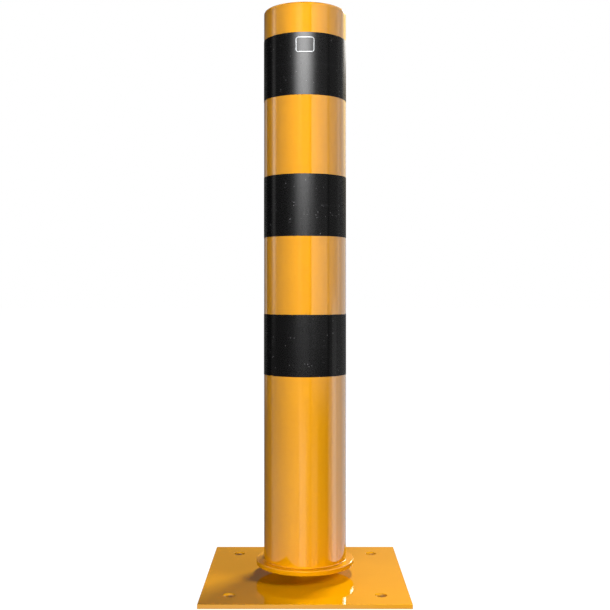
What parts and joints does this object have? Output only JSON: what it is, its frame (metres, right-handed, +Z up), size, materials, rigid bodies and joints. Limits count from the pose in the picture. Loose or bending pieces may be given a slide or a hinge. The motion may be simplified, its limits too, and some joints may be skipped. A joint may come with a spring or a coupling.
{
  "type": "safety bollard",
  "caption": "Flexible steel safety bollard: capped coated tube with dark film bands, rocking on a sprung seat above a square bolt-down floor plate.",
  "frame": {"origin": "centre of the floor plate's underside", "axes": "+Z up along the post, -Y towards the badge, X to the side"},
  "size_m": [0.378, 0.378, 1.0975],
  "materials": {
    "plate_coat": "glossy yellow-orange powder coat",
    "frame_coat": "glossy yellow-orange powder coat over weld and turned steel",
    "post_coat": "glossy yellow-orange powder coat",
    "black_film": "glossy black self-adhesive film with a fine speckle",
    "badge_metal": "plain satin silver",
    "zinc_steel": "bright zinc plate",
    "urethane": "satin cast polyurethane"
  },
  "bodies": {
    "floor_frame": {"base_plate": "plate_coat", "ball_seat": "frame_coat", "seat_weld": "frame_coat", "rod_weld": "frame_coat", "tie_rod": "zinc_steel", "pressure_washer": "zinc_steel", "clamp_nut": "zinc_steel", "lock_nut": "zinc_steel"},
    "spring_stack": {"buffer_lower": "urethane", "buffer_divider": "zinc_steel", "buffer_upper": "urethane"},
    "post": {"foot_flange": "post_coat", "foot_weld": "post_coat", "post_tube": "post_coat", "cap_weld": "post_coat", "top_cap": "post_coat", "band_top": "black_film", "band_middle": "black_film", "band_bottom": "black_film", "badge_plate": "badge_metal"}
  },
  "joints": [
    {"name": "tilt_front_back", "type": "hinge", "parent": "floor_frame", "child": "spring_stack", "pos_m": [0, 0, 0.0045], "axis": [1, 0, 0], "range_deg": [-8.5, 8.5], "stiffness_Nm_per_rad": 4000, "deforming": ["buffer_lower", "buffer_upper"]},
    {"name": "tilt_side", "type": "hinge", "parent": "spring_stack", "child": "post", "pos_m": [0, 0, 0.0045], "axis": [0, 1, 0], "range_deg": [-8.5, 8.5], "stiffness_Nm_per_rad": 4000, "deforming": ["buffer_lower", "buffer_upper"]}
  ]
}
